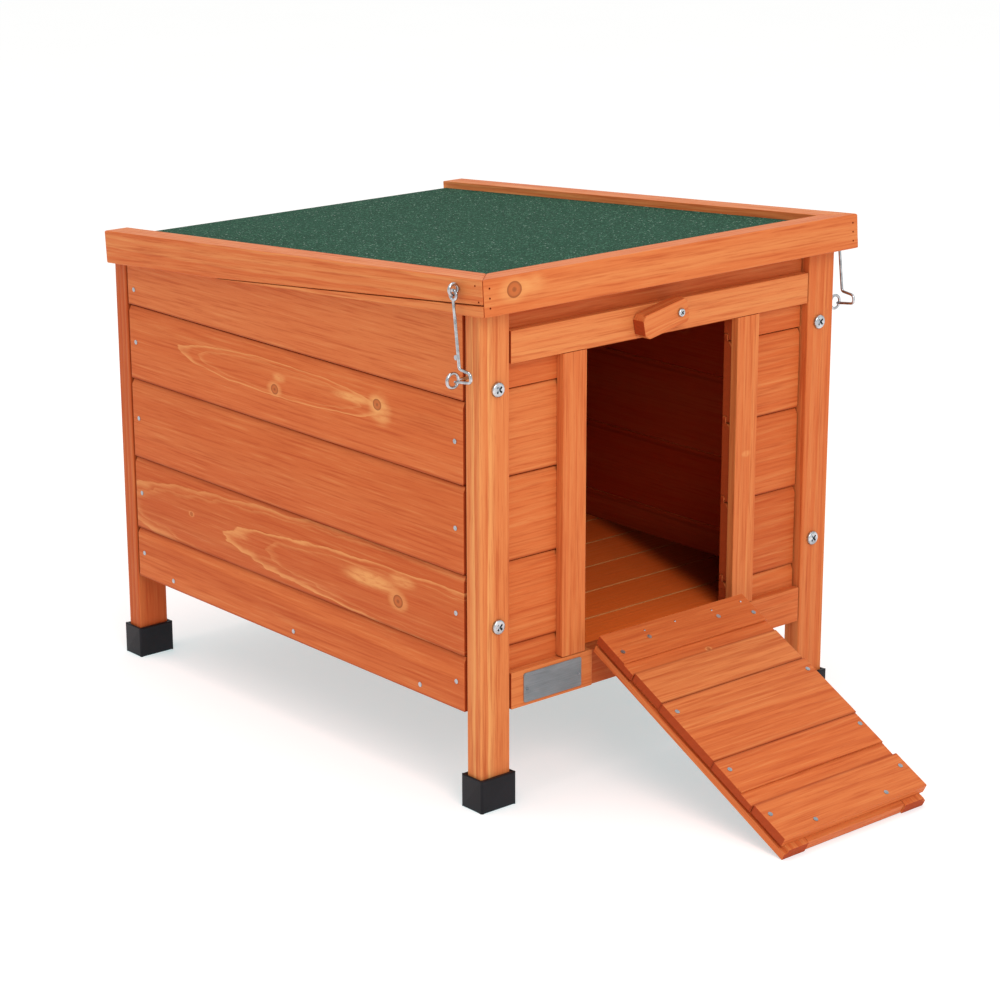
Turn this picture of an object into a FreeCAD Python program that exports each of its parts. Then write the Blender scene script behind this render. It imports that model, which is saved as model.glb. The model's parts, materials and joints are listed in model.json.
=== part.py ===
import FreeCAD, Part
import math
import os

# Small rabbit hutch with a lean-to lid, millimetres, +Z up, the door side facing -Y.
# The pieces are drawn with x = 0 at the left wall's outer face, y = 0 at the front posts'
# front faces and z = 0 on the ground.  save() then moves each one so that the origin lies
# under the middle of the whole object's box.

V = FreeCAD.Vector
X_AXIS = V(1, 0, 0)
Y_AXIS = V(0, 1, 0)
Z_AXIS = V(0, 0, 1)

# ---- driving dimensions -------------------------------------------------------------
WIDTH = 390.0            # outer faces of the left and right posts
DEPTH = 500.0            # front faces of the front posts to back faces of the back posts
GAP = 0.4                # play left between pieces that only lie against each other
CONTACT = 0.02           # between pieces that are fastened face to face
BORE_PLAY = 0.1          # radial play of a bolt in its hole
MORE = 1.0               # how far a cutting shape stands past the piece it cuts

POST_X = 30.0            # post section, across the front
POST_Y = 17.0            # post section, front to back
CAP_X = 36.0             # plastic foot cap, outside
CAP_Y = 25.5
CAP_HEIGHT = 27.5
CAP_FLOOR = 3.0          # solid bottom of a foot cap
CAP_PLAY = 0.5           # between a post and the cap's wall
CAP_ROUND = 2.0

BATTEN = 8.0             # thickness of the front and back battens
BOARD = 9.0              # thickness of the siding boards
LAP_HEIGHT = 5.0         # overlap of two siding boards
LAP_DEPTH = 4.3          # depth of the rebate at a board's lower edge
BEVEL_HEIGHT = 6.0       # bevelled upper edge of a siding board
BEVEL_DEPTH = 2.6
JOINT_GAP = 1.1          # open joint under the visible edge of each siding board
SIDE_JOINTS = [78.5, 125.3, 191.8, 264.0, 331.0]      # lower edges of the side boards
FRONT_JOINTS = [80.0, 129.3, 198.8, 267.6, 337.4]     # lower edges of the front courses
SIDE_END_GAP = 3.0       # open joint between a post and the side boards

CLEAT_X = 17.0           # upright cleats that the side boards are nailed to
CLEAT_Y = 18.0
CLEAT_FROM_POST = 3.5
BEARER_Z = 16.0          # cleats under the floor, one along each side
FLOOR_THICKNESS = 8.5
FLOOR_BOARD_COUNT = 9
FLOOR_BOARD_GAP = 1.2
FLOOR_PLAY = 0.6         # between the floor boards' ends and the side walls

RAIL_LOW = 78.5          # bottom rails, front and back
RAIL_HIGH = 109.0
HEADER_LOW = 358.5       # header over the door
HEADER_HIGH = 384.2
JAMB_WIDTH = 24.8
OPENING_LEFT = 109.8     # inner faces of the two jambs
OPENING_RIGHT = 276.8
OPENING_TOP = 355.5      # lower edge of the board over the door
RAIL_LEFT_END = 117.5    # inner ends of the two bottom rails
RAIL_RIGHT_END = 270.0
SILL_SET_BACK = 1.8      # sill rail's face behind the bottom rails' faces
SILL_DROP = 1.0          # sill rail's top below the bottom rails' tops
SILL_CHEEK = 0.1         # play between the sill rail's ends and the boards behind them
RAIL_END_GAP = 0.5       # play at the ends of battens and rails
JAMB_LIFT = 0.6          # between a jamb and the rail under it
DOOR_REVEAL = 0.8        # the boards stand back from the jambs' edges

LID_FRONT_Y = -15.5      # lid's top front edge
LID_FRONT_Z = 431.4
LID_SLOPE = math.radians(4.07)
LID_LENGTH = 516.0       # along the slope
LID_OVERHANG = 10.0      # beyond each side wall
RIM_THICKNESS = 24.0
RIM_HEIGHT = 28.7
FELT_RECESS = 6.3        # felt surface below the rims' top faces
FELT_THICKNESS = 2.0
DECK_THICKNESS = 9.0
FELT_SHORT = 4.0         # felt and deck stop short of the rims' back ends
DECK_SHORT = 3.0
WEDGE_START = 361.0      # length of the packing wedge under a side rim, from the front
WEDGE_HEIGHT = 9.6
WEDGE_SEAM = 0.8         # open seam above the packing wedge
WEDGE_SHORT = 12.0       # the wedge's thin end stops short of the cut-back
RIM_CLEAR = 0.3          # between the rims and the deck and felt
BRAD_R = 0.9
BRAD_SUNK = 1.6          # depth of a brad's head below the rim's face
BRAD_LENGTH = 22.0
BRAD_IN = 6.5            # brads in from the lid's ends
BRAD_HEIGHTS = [7.0, 14.5, 22.0]     # below the lid's top
SIDE_BRADS = [(5.5, 17.0), (9.0, 5.0)]     # empty brad holes in a side rim: along, below the top
REAR_BATTEN_Y = 18.0
REAR_BATTEN_LIFT = 0.7   # its underside above the lid hinges' axis
BACK_RAIL_HEIGHT = 27.0
BACK_TOP_GAP = 1.5       # between the back wall's top and the lid

LID_AXIS_Y = 502.8       # lid hinge axis
LID_AXIS_Z = 365.5
HINGE_BARREL_R = 2.4
HINGE_PIN_R = 1.2
HINGE_PIN_PLAY = 0.05
HINGE_LEAF = 1.2         # thickness of a hinge leaf
HINGE_KNUCKLE_GAP = 0.3
HINGE_SCREW_IN = 5.0     # from a leaf's end to its screw
FIXED_SCREW_DROP = 12.0  # the leaves' screws, from the hinge axis
MOVING_SCREW_RISE = 7.0
LEAF_DROP = 19.0         # height of the leaves on the house
LID_LEAF_RISE = 12.0
RAMP_LEAF_RISE = 19.0
LID_HINGE_LENGTH = 25.0
LID_HINGE_X = [70.0, 295.0]

RAMP_AXIS_Y = -1.5       # ramp hinge axis
RAMP_AXIS_Z = 109.3
RAMP_LEFT = 111.7        # the ramp shuts between the jambs
RAMP_RIGHT = 274.7
RAMP_FACE = 3.3          # outer face of the shut ramp behind the hinge axis
RAMP_FOOT = 4.2          # lower end of the shut ramp above the hinge axis
RAMP_RAIL_LENGTH = 238.5
RAMP_RAIL_WIDTH = 25.0
RAMP_RAIL_THICKNESS = 9.5
RAMP_RAIL_INSET = 1.0
RAMP_BOARD = 8.0
RAMP_LIP = 6.2           # thickness of a ramp board's rebated lip
RAMP_RAIL_ROUND = 4.0
RAMP_RAIL_REBATE = 3.5   # along a rail's outer edge, under the walking boards' ends
RAMP_BATTEN_WIDTH = 30.0
RAMP_HINGE_LENGTH = 44.0
RAMP_HINGE_X = [150.0, 226.0]
RAMP_TIP_ALONG = 7.5     # hinge screws, from the ramp's hinged end
RAMP_TIP_PROUD = 0.7     # their points stand out of the walking boards

UPPER_EYE_R = 4.2        # eye screws: middle of the ring's wire
LOWER_EYE_R = 5.6
EYE_WIRE = 1.25
EYE_SHANK_IN = 10.0      # length of the shank in the wood
HOOK_WIRE = 1.25
HOOK_LOOP_R = 3.6
HOOK_OUT = 15.9          # plane of the hooks and rings outside the side walls
HOOK_AXIS_Y = 11.0       # the upper ring's lowest point carries the hook
HOOK_AXIS_Z = 417.0
HOOK_ROUTE = [(4.6, 361.5), (-8.0, 360.0), (-9.3, 353.0), (9.2, 350.6)]    # y, z from the loop on
HOOK_BENDS = [2.6, 3.0, 3.0]
LOWER_EYE_Y = 12.3
LOWER_EYE_Z = 351.0

BUTTON_X = 198.0         # turn button's screw
BUTTON_Z = 376.5
BUTTON_LONG = 40.0       # screw to the long end
BUTTON_SHORT = 9.0
BUTTON_HALF_WIDTH = 10.0
BUTTON_THICKNESS = 12.5
BUTTON_DROP = math.radians(11.5)
BUTTON_SCREW_R = 2.0
BUTTON_HEAD_R = 3.4
BUTTON_HEAD_HEIGHT = 1.9
BUTTON_LONG_CUT = 4.0    # cut corners of the button's two ends
BUTTON_SHORT_CUT = 3.0
BUTTON_PLAY = 0.08
BUTTON_STAND = 0.4       # behind the button and under the screw's head

BOLT_IN = 17.5           # panel bolts, in from the side walls' outer faces
BOLT_HEIGHTS = [151.0, 341.0]
BOLT_R = 2.5
BOLT_HEAD_R = 6.0
BOLT_HEAD_HEIGHT = 2.8
BOLT_LENGTH = 33.0
HEAD_ROUND = 0.6         # parts of a screw head's height
RECESS_DEPTH = 0.6
RECESS_REACH = 0.55      # parts of a screw head's radius
RECESS_HALF_WIDTH = 0.14
NAIL_R = 0.9
NAIL_HEAD_R = 2.0
NAIL_PROUD = 0.4
NAIL_SUNK = 0.3
TOP_NAIL_SHIFT = -2.0    # the top board's front nail stands further forward
TOP_NAIL_FRONT_Z = 363.6
TOP_NAIL_BACK_Z = 345.0
BEARER_NAIL_Y = [75.0, 245.0, 425.0]
BEARER_NAIL_RISE = 7.0
NAIL_LENGTH = 15.0

PLATE = (44.0, 105.0, 81.5, 106.0)      # name plate: left, right, low, high
PLATE_THICKNESS = 1.0
PLATE_ROUND = 2.0
PLATE_PINS = [(47.2, 92.6), (102.2, 92.4)]
PLATE_PIN_R = 1.1
PLATE_PIN_PROUD = 0.5

# ---- values that follow ---------------------------------------------------------------
CLEAT_FRONT_Y = POST_Y + CLEAT_FROM_POST
CLEAT_BACK_Y = DEPTH - POST_Y - CLEAT_FROM_POST - CLEAT_Y
SIDE_START_Y = POST_Y + SIDE_END_GAP
SIDE_END_Y = DEPTH - SIDE_START_Y
BEARER_LOW = RAIL_LOW + 1.0
FLOOR_LOW = BEARER_LOW + BEARER_Z
FLOOR_HIGH = FLOOR_LOW + FLOOR_THICKNESS
RAMP_THICKNESS = RAMP_RAIL_THICKNESS + RAMP_BOARD
EYE_Z = HOOK_AXIS_Z + UPPER_EYE_R
BUTTON_FACE = -BUTTON_THICKNESS - BUTTON_STAND
BUTTON_SCREW_END = BATTEN + 5.5
PANEL_LEFT = POST_X + 1.0            # front and back boards lie between the posts
PANEL_RIGHT = WIDTH - PANEL_LEFT


def ramp_open_angle():
    """Angle from shut to lying on the ground: the rails' outer far corner then has z = 0."""
    reach = RAMP_FOOT + RAMP_RAIL_LENGTH
    tilt = math.atan2(RAMP_FACE, reach)
    return math.acos(-RAMP_AXIS_Z / math.hypot(RAMP_FACE, reach)) + tilt


RAMP_ANGLE = ramp_open_angle()


def ramp_point(back, up):
    """Where a point of the shut ramp, given from the hinge axis, lies when the ramp is down."""
    y = RAMP_AXIS_Y + back * math.cos(RAMP_ANGLE) - up * math.sin(RAMP_ANGLE)
    z = RAMP_AXIS_Z + back * math.sin(RAMP_ANGLE) + up * math.cos(RAMP_ANGLE)
    return y, z


FRONT_END_Y = ramp_point(RAMP_FACE + RAMP_RAIL_THICKNESS, RAMP_FOOT + RAMP_RAIL_LENGTH)[0]
BACK_END_Y = LID_AXIS_Y + HINGE_BARREL_R
ORIGIN_X = WIDTH / 2.0
ORIGIN_Y = (FRONT_END_Y + BACK_END_Y) / 2.0


# ---- shape helpers ----------------------------------------------------------------------
def block(x0, x1, y0, y1, z0, z1):
    return Part.makeBox(x1 - x0, y1 - y0, z1 - z0, V(x0, y0, z0))


def prism_x(outline, x0, x1):
    """Closed outline of (y, z) points, extruded along X."""
    points = [V(x0, y, z) for y, z in outline]
    return Part.Face(Part.makePolygon(points + points[:1])).extrude(V(x1 - x0, 0, 0))


def prism_y(outline, y0, y1):
    """Closed outline of (x, z) points, extruded along Y."""
    points = [V(x, y0, z) for x, z in outline]
    return Part.Face(Part.makePolygon(points + points[:1])).extrude(V(0, y1 - y0, 0))


def rod(radius, start, end):
    along = end.sub(start)
    return Part.makeCylinder(radius, along.Length, start, along)


def mirrored(shape):
    """The same piece on the other side of the hutch's middle plane."""
    return shape.mirror(V(WIDTH / 2.0, 0, 0), X_AXIS)


def on_both_sides(shape):
    return [shape, mirrored(shape)]


def save(name, shapes):
    """Write one node; a list becomes a group of separate solids."""
    shape = Part.makeCompound(shapes) if isinstance(shapes, list) else shapes.copy()
    shape.translate(V(-ORIGIN_X, -ORIGIN_Y, 0))
    shape.exportStep(os.path.join("parts", name + ".step"))


def siding_outline(low, high, first, last):
    """Section of a siding board as (depth from the outer face, z) points."""
    points = [(0.0, low)]
    if last:
        points += [(0.0, high), (BOARD, high)]
    else:
        lip = LAP_DEPTH + GAP
        points += [(0.0, high - BEVEL_HEIGHT), (BEVEL_DEPTH, high - JOINT_GAP), (lip, high - JOINT_GAP)]
        points += [(lip, high + LAP_HEIGHT - GAP), (BOARD, high + LAP_HEIGHT - GAP)]
    if first:
        points += [(BOARD, low)]
    else:
        points += [(BOARD, low + LAP_HEIGHT), (LAP_DEPTH, low + LAP_HEIGHT), (LAP_DEPTH, low)]
    return points


def courses(joints, top):
    """(low, high, first, last) of every course of a wall."""
    edges = joints + [top]
    last = len(joints) - 1
    return [(edges[i], edges[i + 1], i == 0, i == last) for i in range(len(joints))]


# ---- lid frame ----------------------------------------------------------------------------
def lid_point(along, above):
    """(y, z) of a point given along the lid's slope from its front edge and above its top."""
    y = LID_FRONT_Y + along * math.cos(LID_SLOPE) + above * math.sin(LID_SLOPE)
    z = LID_FRONT_Z - along * math.sin(LID_SLOPE) + above * math.cos(LID_SLOPE)
    return y, z


def tilt_lid(shape):
    """Move a piece drawn flat, y along the slope and z above the lid's top, into place."""
    shape.rotate(V(0, 0, 0), X_AXIS, -math.degrees(LID_SLOPE))
    shape.translate(V(0, LID_FRONT_Y, LID_FRONT_Z))
    return shape


def under_lid():
    """Everything below the lid's rims: posts, cleats and walls are cut off by it."""
    front = lid_point(-60.0, -RIM_HEIGHT - GAP)
    back = lid_point(LID_LENGTH + 60.0, -RIM_HEIGHT - GAP)
    outline = [(front[0], -10.0), front, back, (back[0], -10.0)]
    return prism_x(outline, -50.0, WIDTH + 50.0)


BELOW_LID = under_lid()
WALL_TOP = LID_FRONT_Z


# ---- legs -----------------------------------------------------------------------------------
def post(front):
    y0 = 0.0 if front else DEPTH - POST_Y
    shape = block(0.0, POST_X, y0, y0 + POST_Y, CAP_FLOOR, WALL_TOP).common(BELOW_LID)
    return drill_for_bolts(shape, y0, y0 + POST_Y)


def drill_for_bolts(shape, y0, y1):
    for height in BOLT_HEIGHTS:
        start = V(BOLT_IN, y0 - MORE, height)
        shape = shape.cut(rod(BOLT_R + BORE_PLAY, start, V(BOLT_IN, y1 + MORE, height)))
    return shape


def foot_cap(front):
    y_mid = POST_Y / 2.0 if front else DEPTH - POST_Y / 2.0
    x_mid = POST_X / 2.0
    outer = column(x_mid, y_mid, CAP_X, CAP_Y, 0.0, CAP_HEIGHT)
    outer = outer.makeFillet(CAP_ROUND, [edge for edge in outer.Edges if is_upright(edge)])
    room = 2.0 * CAP_PLAY
    return outer.cut(column(x_mid, y_mid, POST_X + room, POST_Y + room, CAP_FLOOR, CAP_HEIGHT + MORE))


def column(x_mid, y_mid, size_x, size_y, z0, z1):
    half_x = size_x / 2.0
    half_y = size_y / 2.0
    return block(x_mid - half_x, x_mid + half_x, y_mid - half_y, y_mid + half_y, z0, z1)


def is_upright(edge):
    return abs(edge.tangentAt(edge.FirstParameter).z) > 0.99


def make_legs():
    for place, front in (("front", True), ("back", False)):
        leg = post(front)
        cap = foot_cap(front)
        save("post_%s_left" % place, leg)
        save("post_%s_right" % place, mirrored(leg))
        save("foot_cap_%s_left" % place, cap)
        save("foot_cap_%s_right" % place, mirrored(cap))


# ---- side walls -----------------------------------------------------------------------------
def side_boards():
    boards = []
    for low, high, first, last in courses(SIDE_JOINTS, WALL_TOP):
        outline = siding_outline(low, high, first, last)
        points = [V(depth, SIDE_START_Y, z) for depth, z in outline]
        face = Part.Face(Part.makePolygon(points + points[:1]))
        board = face.extrude(V(0, SIDE_END_Y - SIDE_START_Y, 0))
        boards.append(board.common(BELOW_LID) if last else board)
    return boards


def upright_cleats():
    """The two cleats inside the left wall, drilled for the panel bolts."""
    cleats = []
    for y0 in (CLEAT_FRONT_Y, CLEAT_BACK_Y):
        y1 = y0 + CLEAT_Y
        cleat = block(BOARD + CONTACT, BOARD + CLEAT_X, y0, y1, FLOOR_HIGH + GAP, WALL_TOP)
        cleats.append(drill_for_bolts(cleat.common(BELOW_LID), y0, y1))
    return cleats


def make_side_walls():
    for number, board in enumerate(side_boards(), start=1):
        save("left_board_%d" % number, board)
        save("right_board_%d" % number, mirrored(board))
    cleats = upright_cleats()
    save("upright_cleats_left", cleats)
    save("upright_cleats_right", [mirrored(cleat) for cleat in cleats])
    x0 = BOARD + CONTACT
    x1 = BOARD + CLEAT_X
    bearer = block(x0, x1, CLEAT_FRONT_Y, DEPTH - CLEAT_FRONT_Y, BEARER_LOW, FLOOR_LOW)
    save("floor_bearers", on_both_sides(bearer))


# ---- front wall -----------------------------------------------------------------------------
def front_board(course, x0, x1):
    outline = [(BATTEN + depth, z) for depth, z in siding_outline(*course)]
    return prism_x(outline, x0, x1)


def front_batten(x0, x1, z0, z1):
    """A batten on the front, flush with the posts' front faces."""
    return block(x0, x1, 0.0, BATTEN - CONTACT, z0, z1)


def button_screw_hole(y0, y1):
    return rod(BUTTON_SCREW_R, V(BUTTON_X, y0, BUTTON_Z), V(BUTTON_X, y1, BUTTON_Z))


def make_front_wall():
    """Boards, with those beside the doorway a little wider open than the jambs."""
    left_end = OPENING_LEFT - DOOR_REVEAL
    right_end = OPENING_RIGHT + DOOR_REVEAL
    all_courses = courses(FRONT_JOINTS, WALL_TOP)
    lower = all_courses[:-1]
    save("front_boards_left", [front_board(course, PANEL_LEFT, left_end) for course in lower])
    save("front_boards_right", [front_board(course, right_end, PANEL_RIGHT) for course in lower])

    top = front_board(all_courses[-1], PANEL_LEFT, PANEL_RIGHT).common(BELOW_LID)
    low = FRONT_JOINTS[-1] - MORE
    notch = block(left_end, right_end, BATTEN - MORE, POST_Y + MORE, low, OPENING_TOP)
    save("front_top_board", top.cut(notch).cut(button_screw_hole(BATTEN - MORE, BUTTON_SCREW_END + MORE)))

    x0 = PANEL_LEFT + RAIL_END_GAP
    x1 = PANEL_RIGHT - RAIL_END_GAP
    header = front_batten(x0, x1, HEADER_LOW, HEADER_HIGH)
    save("header_rail", header.cut(button_screw_hole(-MORE, BATTEN + MORE)))

    low = RAIL_HIGH + JAMB_LIFT
    high = HEADER_LOW - RIM_CLEAR
    save("door_jamb_left", front_batten(OPENING_LEFT - JAMB_WIDTH, OPENING_LEFT, low, high))
    save("door_jamb_right", front_batten(OPENING_RIGHT, OPENING_RIGHT + JAMB_WIDTH, low, high))
    save("bottom_rail_left", front_batten(x0, RAIL_LEFT_END, RAIL_LOW, RAIL_HIGH))
    save("bottom_rail_right", front_batten(RAIL_RIGHT_END, x1, RAIL_LOW, RAIL_HIGH))

    x0 = RAIL_LEFT_END + RAIL_END_GAP
    x1 = RAIL_RIGHT_END - RAIL_END_GAP
    sill = block(x0, x1, SILL_SET_BACK, POST_Y, RAIL_LOW, RAIL_HIGH - SILL_DROP)
    for x0, x1 in ((PANEL_LEFT, OPENING_LEFT), (OPENING_RIGHT, PANEL_RIGHT)):
        sill = sill.cut(block(x0 - MORE, x1, BATTEN - SILL_CHEEK, POST_Y + MORE, 0.0, RAIL_HIGH))
    save("sill_rail", sill)


# ---- back wall ------------------------------------------------------------------------------
def make_back_wall():
    top = lid_point(LID_LENGTH, -RIM_HEIGHT - GAP)[1] - BACK_TOP_GAP
    boards = []
    for low, high, first, last in courses(SIDE_JOINTS, top):
        outline = [(DEPTH - BATTEN - depth, z) for depth, z in siding_outline(low, high, first, last)]
        boards.append(prism_x(outline, PANEL_LEFT, PANEL_RIGHT))
    save("back_boards", boards)
    y0 = DEPTH - BATTEN + CONTACT
    x0 = PANEL_LEFT + RAIL_END_GAP
    x1 = PANEL_RIGHT - RAIL_END_GAP
    save("back_top_rail", block(x0, x1, y0, DEPTH, top - BACK_RAIL_HEIGHT, top))
    save("back_bottom_rail", block(x0, x1, y0, DEPTH, RAIL_LOW, RAIL_HIGH))


# ---- floor ------------------------------------------------------------------------------------
def make_floor():
    y0 = POST_Y + MORE
    pitch = (DEPTH - 2.0 * y0 + FLOOR_BOARD_GAP) / FLOOR_BOARD_COUNT
    x0 = BOARD + FLOOR_PLAY
    boards = []
    for i in range(FLOOR_BOARD_COUNT):
        y = y0 + i * pitch
        y1 = y + pitch - FLOOR_BOARD_GAP
        boards.append(block(x0, WIDTH - x0, y, y1, FLOOR_LOW + CONTACT, FLOOR_HIGH))
    save("floor_boards", boards)


# ---- hinges -------------------------------------------------------------------------------------
def knuckles(x0, length, y, z, middle):
    """The middle knuckle of a butt hinge, or its two outer ones."""
    third = length / 3.0
    play = HINGE_KNUCKLE_GAP / 2.0
    found = []
    for i in [1] if middle else [0, 2]:
        start = V(x0 + i * third + play, y, z)
        found.append(rod(HINGE_BARREL_R, start, V(x0 + (i + 1) * third - play, y, z)))
    return found


def hinge_leaf(x0, length, axis, leaf_y, z0, z1, middle):
    """A leaf lying in an upright plane, fused with its knuckles and bored for the pin."""
    axis_y, axis_z = axis
    leaf = block(x0, x0 + length, leaf_y, leaf_y + HINGE_LEAF, z0, z1)
    room = HINGE_KNUCKLE_GAP
    band = HINGE_BARREL_R + room
    for other in knuckles(x0, length, axis_y, axis_z, not middle):
        clear = other.BoundBox
        leaf = leaf.cut(block(clear.XMin - room, clear.XMax + room, axis_y - band, axis_y + band,
                              axis_z - band, axis_z + band))
    for own in knuckles(x0, length, axis_y, axis_z, middle):
        leaf = leaf.fuse(own)
    start = V(x0 - MORE, axis_y, axis_z)
    bore = rod(HINGE_PIN_R + HINGE_PIN_PLAY, start, V(x0 + length + MORE, axis_y, axis_z))
    return leaf.cut(bore).removeSplitter()


def hinge_pin(x0, length, axis):
    return rod(HINGE_PIN_R, V(x0 - GAP, *axis), V(x0 + length + GAP, *axis))


def leaf_pairs(places, length, axis, leaf_y, rise):
    """The fixed leaves hanging below the axis and the moving leaves above it."""
    fixed = []
    moving = []
    for x0 in places:
        fixed.append(hinge_leaf(x0, length, axis, leaf_y, axis[1] - LEAF_DROP, axis[1], False))
        moving.append(hinge_leaf(x0, length, axis, leaf_y, axis[1], axis[1] + rise, True))
    return fixed, moving


def make_hinges():
    lid_axis = (LID_AXIS_Y, LID_AXIS_Z)
    ramp_axis = (RAMP_AXIS_Y, RAMP_AXIS_Z)
    pins = [hinge_pin(x0, LID_HINGE_LENGTH, lid_axis) for x0 in LID_HINGE_X]
    pins += [hinge_pin(x0, RAMP_HINGE_LENGTH, ramp_axis) for x0 in RAMP_HINGE_X]
    save("hinge_pins", pins)

    leaf_y = DEPTH + CONTACT
    fixed, moving = leaf_pairs(LID_HINGE_X, LID_HINGE_LENGTH, lid_axis, leaf_y, LID_LEAF_RISE)
    save("lid_hinge_fixed_leaves", fixed)
    save("lid_hinge_moving_leaves", moving)

    leaf_y = RAMP_AXIS_Y + RAMP_FACE - CONTACT - HINGE_LEAF
    fixed, moving = leaf_pairs(RAMP_HINGE_X, RAMP_HINGE_LENGTH, ramp_axis, leaf_y, RAMP_LEAF_RISE)
    save("ramp_hinge_fixed_leaves", fixed)
    save("ramp_hinge_moving_leaves", [lay_ramp(leaf) for leaf in moving])


# ---- ramp door ----------------------------------------------------------------------------------
def lay_ramp(shape):
    """Swing a piece of the shut ramp down onto the ground."""
    shape.rotate(V(0, RAMP_AXIS_Y, RAMP_AXIS_Z), X_AXIS, math.degrees(RAMP_ANGLE))
    return shape


def ramp_block(x0, x1, depth0, depth1, along0, along1):
    """A piece of the ramp: depth from its outer face, along from its hinged end."""
    y = RAMP_AXIS_Y + RAMP_FACE
    z = RAMP_AXIS_Z + RAMP_FOOT
    return block(x0, x1, y + depth0, y + depth1, z + along0, z + along1)


# Each walking board: hinged-end edge, end of the full thickness, end of the rebated lip, and
# how far it stops short of the ramp's full width on the left and on the right.
RAMP_BOARDS = [
    (0.0, 33.0, 45.0, 0.0, 1.0),
    (45.4, 80.4, 80.4, 1.2, 2.0),
    (80.8, 146.8, 146.8, 0.4, 0.3),
    (147.2, 181.2, 195.2, 0.0, 1.8),
    (195.6, 233.0, 233.0, 0.8, 0.0),
]


def make_ramp():
    top = RAMP_THICKNESS
    under = RAMP_RAIL_THICKNESS + CONTACT
    boards = []
    for start, full, lip, short_left, short_right in RAMP_BOARDS:
        x0 = RAMP_LEFT + short_left
        x1 = RAMP_RIGHT - short_right
        board = ramp_block(x0, x1, under, top, start, full)
        if lip > full:
            board = board.fuse(ramp_block(x0, x1, under, under + RAMP_LIP, full, lip)).removeSplitter()
        boards.append(lay_ramp(board))
    save("ramp_boards", boards)

    x0 = RAMP_LEFT + RAMP_RAIL_INSET
    x1 = x0 + RAMP_RAIL_WIDTH
    rail = ramp_block(x0, x1, 0.0, RAMP_RAIL_THICKNESS, 0.0, RAMP_RAIL_LENGTH)
    rail = rail.makeFillet(RAMP_RAIL_ROUND, [edge for edge in rail.Edges if is_hinged_end_edge(edge)])
    depth = RAMP_RAIL_THICKNESS - RAMP_RAIL_REBATE
    edge = x0 + RAMP_RAIL_REBATE
    end = RAMP_RAIL_LENGTH + MORE
    rail = rail.cut(ramp_block(x0 - MORE, edge, depth, RAMP_RAIL_THICKNESS + MORE, -MORE, end))
    rail = lay_ramp(rail)
    save("ramp_side_rails", on_both_sides_of_ramp(rail))

    x0 = x1 + GAP
    x1 = RAMP_LEFT + RAMP_RIGHT - x0
    starts = (MORE, RAMP_RAIL_LENGTH - RAMP_BATTEN_WIDTH - MORE)
    battens = [ramp_block(x0, x1, 0.0, RAMP_RAIL_THICKNESS, s, s + RAMP_BATTEN_WIDTH) for s in starts]
    save("ramp_cross_battens", [lay_ramp(batten) for batten in battens])


def is_hinged_end_edge(edge):
    """The rail's edge across its hinged end, on the side under the walking boards."""
    middle = edge.CenterOfMass
    low = RAMP_AXIS_Z + RAMP_FOOT
    inner = RAMP_AXIS_Y + RAMP_FACE + RAMP_RAIL_THICKNESS
    return abs(middle.z - low) < 0.01 and abs(middle.y - inner) < 0.01


def on_both_sides_of_ramp(shape):
    middle = (RAMP_LEFT + RAMP_RIGHT) / 2.0
    return [shape, shape.mirror(V(middle, 0, 0), X_AXIS)]


# ---- lid ------------------------------------------------------------------------------------------
def side_rim_outline():
    """Left rim seen from the side: its underside is cut back over the packing wedge."""
    return [(0.0, 0.0), (LID_LENGTH, 0.0), (LID_LENGTH, -RIM_HEIGHT), (WEDGE_START, -RIM_HEIGHT),
            (0.0, -RIM_HEIGHT + WEDGE_HEIGHT)]


def mitre(x0):
    """Wedge of space in front of the mitred joint at the lid's front left corner."""
    reach = RIM_THICKNESS + 20.0
    points = [V(x0 - 20.0, -20.0, -60.0), V(x0 + reach, -20.0, -60.0), V(x0 + reach, reach, -60.0)]
    return Part.Face(Part.makePolygon(points + points[:1])).extrude(V(0, 0, 80.0))


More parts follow.
